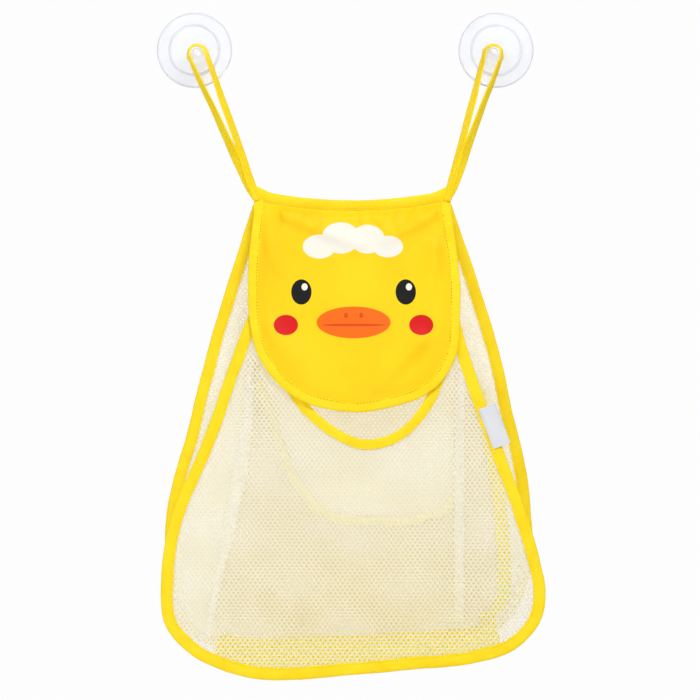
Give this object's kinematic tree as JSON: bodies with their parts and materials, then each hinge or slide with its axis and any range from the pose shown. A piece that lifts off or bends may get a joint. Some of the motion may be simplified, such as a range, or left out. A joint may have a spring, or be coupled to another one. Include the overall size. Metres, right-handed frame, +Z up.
{
  "type": "bath toy organizer",
  "caption": "Net pouch for bath toys with yellow bound edges and a duck faced flap, hung on a wall by tape loops over clear suction cups",
  "frame": {"origin": "On the wall plane, midway between the centres of the two suction cups", "axes": "+Z up, +X to the viewer's right, +Y into the wall, so the pouch hangs in front of the wall on the side of -Y"},
  "size_m": [0.3038, 0.0872, 0.5199],
  "materials": {
    "clear_cup": "clear soft plastic, smooth and glossy",
    "yellow_tape": "woven binding tape, matte with a faint rib",
    "cream_net": "knitted net with small open cells, matte",
    "yellow_cloth": "smooth woven cloth, slight sheen",
    "pale_tape": "thin pale tape, matte",
    "white_tape": "smooth white ribbon, satin"
  },
  "bodies": {
    "cups": {"suction_cup_left": "clear_cup", "suction_cup_right": "clear_cup"},
    "strap_left": {"strap_loop_left": "yellow_tape"},
    "header": {"top_binding": "yellow_tape"},
    "strap_right": {"strap_loop_right": "yellow_tape"},
    "pouch": {"back_panel": "cream_net", "back_binding": "yellow_tape", "front_panel": "cream_net", "front_binding": "yellow_tape", "scoop_binding": "yellow_tape", "gusset_left": "cream_net", "gusset_right": "cream_net", "base_gusset": "yellow_cloth", "seam_tape_right": "yellow_tape", "pocket_panel": "cream_net", "pocket_edging": "pale_tape", "pocket_hem_left": "pale_tape", "pocket_hem_right": "pale_tape", "side_label": "white_tape"},
    "flap": {"face_flap": "yellow_cloth", "flap_binding": "yellow_tape"}
  },
  "joints": [
    {"name": "sway", "type": "hinge", "parent": "cups", "child": "strap_left", "pos_m": [-0.1183, -0.0116, -0.0024], "axis": [0, 1, 0], "range_deg": [-5, 5]},
    {"name": "header_turn", "type": "hinge", "parent": "strap_left", "child": "header", "pos_m": [-0.0701, -0.0098, -0.1155], "axis": [0, 1, 0], "range_deg": [-8, 8]},
    {"name": "right_loop_turn", "type": "hinge", "parent": "header", "child": "strap_right", "pos_m": [0.0809, -0.0098, -0.1155], "axis": [0, 1, 0], "range_deg": [-8, 8]},
    {"name": "bag_swing", "type": "hinge", "parent": "header", "child": "pouch", "pos_m": [0.0054, -0.01, -0.131], "axis": [-1, 0, 0], "range_deg": [0, 40]},
    {"name": "flap_lift", "type": "hinge", "parent": "pouch", "child": "flap", "pos_m": [0.0069, -0.0146, -0.131], "axis": [-1, 0, 0], "range_deg": [0, 125]}
  ],
  "couplings": [
    {"joint": "header_turn", "follows": "sway", "ratio": -1.567},
    {"joint": "right_loop_turn", "follows": "sway", "ratio": 1.567}
  ]
}
